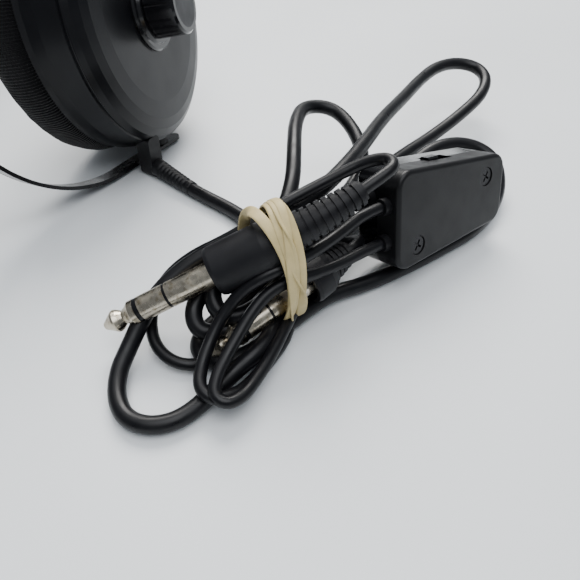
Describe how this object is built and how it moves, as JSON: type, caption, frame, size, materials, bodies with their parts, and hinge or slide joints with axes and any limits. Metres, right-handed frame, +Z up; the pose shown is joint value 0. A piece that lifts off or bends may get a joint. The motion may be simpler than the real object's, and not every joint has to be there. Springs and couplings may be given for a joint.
{
  "type": "wired over-ear headphones",
  "caption": "Over-ear headphones lying on their side, with tilting cups on steel yokes, a sliding headband, a volume knob on each cup and a tied cord with a junction box and jack plugs.",
  "frame": {"origin": "on the table, in the mirror plane between the cups, under the middle of the headphones", "axes": "+X outward from the right ear, +Y from the headband to the chin, +Z up from the table"},
  "size_m": [0.2968, 0.2525, 0.0937],
  "materials": {
    "cup_black": "satin",
    "baffle_black": "matt",
    "screw_steel": "plated",
    "cushion_knit": "knitted",
    "driver_grey": "matt",
    "magnet_steel": "plated",
    "foam_black": "foam",
    "control_metal": "cast",
    "knob_black": "gloss",
    "knob_cap_grey": "satin",
    "yoke_black": "satin",
    "rivet_black": "satin",
    "stem_chrome": "polished",
    "block_black": "satin",
    "strip_steel": "brushed",
    "pad_vinyl": "grained",
    "cord_rubber": "satin",
    "box_black": "satin",
    "box_screw_black": "blackened",
    "board_green": "lacquered",
    "plug_nickel": "tarnished nickel",
    "insulator_black": "matt",
    "plug_black": "satin",
    "cord_pvc": "satin",
    "band_cream": "latex"
  },
  "bodies": {
    "right_cup": {"right_cup_shell": "cup_black", "right_baffle_plate": "baffle_black", "right_baffle_screws": "screw_steel", "right_ear_cushion": "cushion_knit", "right_driver_frame": "driver_grey", "right_driver_magnet": "magnet_steel", "right_driver_foam": "foam_black", "right_volume_control": "control_metal", "right_dial_bezel": "knob_black", "right_tilt_rivets": "rivet_black", "cord_outlet": "cord_rubber", "hank_neck": "cord_pvc", "hank_front_coil": "cord_pvc", "rubber_band": "band_cream", "cord_lead": "cord_pvc", "cord_loop_tall": "cord_pvc", "cord_loop_short": "cord_pvc", "cord_loop_under_box": "cord_pvc", "box_cord_thick": "cord_pvc", "box_cords_thin": "cord_pvc", "front_plug_cord": "cord_pvc", "rear_plug_cord": "cord_pvc", "box_front_shell": "box_black", "box_rear_shell": "box_black", "box_screws": "box_screw_black", "box_circuit_board": "board_green", "switch_case": "magnet_steel", "box_cord_bushings": "cord_rubber", "plug_tips": "plug_nickel", "plug_rings": "plug_nickel", "plug_sleeves": "plug_nickel", "plug_insulators": "insulator_black", "front_plug_body": "plug_black", "rear_plug_body": "plug_black", "front_plug_strain_relief": "plug_black", "rear_plug_strain_relief": "plug_black"},
    "right_knob": {"right_volume_knob": "knob_black", "right_knob_cap": "knob_cap_grey"},
    "right_yoke_arm": {"right_yoke": "yoke_black"},
    "right_stem_rod": {"right_stem": "stem_chrome"},
    "headband": {"right_slide_block": "block_black", "left_slide_block": "block_black", "band_screws": "screw_steel", "headband_strip": "strip_steel", "headband_pad": "pad_vinyl"},
    "left_stem_rod": {"left_stem": "stem_chrome"},
    "left_yoke_arm": {"left_yoke": "yoke_black"},
    "left_cup": {"left_cup_shell": "cup_black", "left_baffle_plate": "baffle_black", "left_baffle_screws": "screw_steel", "left_ear_cushion": "cushion_knit", "left_driver_frame": "driver_grey", "left_driver_magnet": "magnet_steel", "left_driver_foam": "foam_black", "left_volume_control": "control_metal", "left_dial_bezel": "knob_black", "left_tilt_rivets": "rivet_black"},
    "left_knob": {"left_volume_knob": "knob_black", "left_knob_cap": "knob_cap_grey"},
    "switch_slider": {"switch_button": "knob_black"}
  },
  "joints": [
    {"name": "right_cup_tilt", "type": "hinge", "parent": "right_cup", "child": "right_yoke_arm", "pos_m": [0.07, 0.059, 0.0465], "axis": [-0.2079, 0, 0.9781], "range_deg": [-10, 10]},
    {"name": "right_yoke_swivel", "type": "hinge", "parent": "right_yoke_arm", "child": "right_stem_rod", "pos_m": [0.07, -0.01, 0.0465], "axis": [0, 1, 0], "range_deg": [-12, 12]},
    {"name": "right_size_slide", "type": "slide", "parent": "right_stem_rod", "child": "headband", "axis": [0, -1, 0], "range_m": [-0.0022, 0.009]},
    {"name": "left_size_slide", "type": "slide", "parent": "headband", "child": "left_stem_rod", "axis": [0, 1, 0], "range_m": [-0.0022, 0.009]},
    {"name": "left_yoke_swivel", "type": "hinge", "parent": "left_stem_rod", "child": "left_yoke_arm", "pos_m": [-0.07, -0.01, 0.0465], "axis": [0, 1, 0], "range_deg": [-12, 12]},
    {"name": "left_cup_tilt", "type": "hinge", "parent": "left_yoke_arm", "child": "left_cup", "pos_m": [-0.07, 0.059, 0.0465], "axis": [0.2079, 0, 0.9781], "range_deg": [-10, 10]},
    {"name": "right_volume_turn", "type": "hinge", "parent": "right_cup", "child": "right_knob", "pos_m": [0.07, 0.059, 0.0465], "axis": [0.9192, 0.342, 0.1954], "range_deg": [-150, 150]},
    {"name": "left_volume_turn", "type": "hinge", "parent": "left_cup", "child": "left_knob", "pos_m": [-0.07, 0.059, 0.0465], "axis": [-0.9192, 0.342, 0.1954], "range_deg": [-150, 150]},
    {"name": "switch_slide", "type": "slide", "parent": "right_cup", "child": "switch_slider", "axis": [0.3382, 0.9291, -0.1495], "range_m": [0, 0.004]}
  ]
}
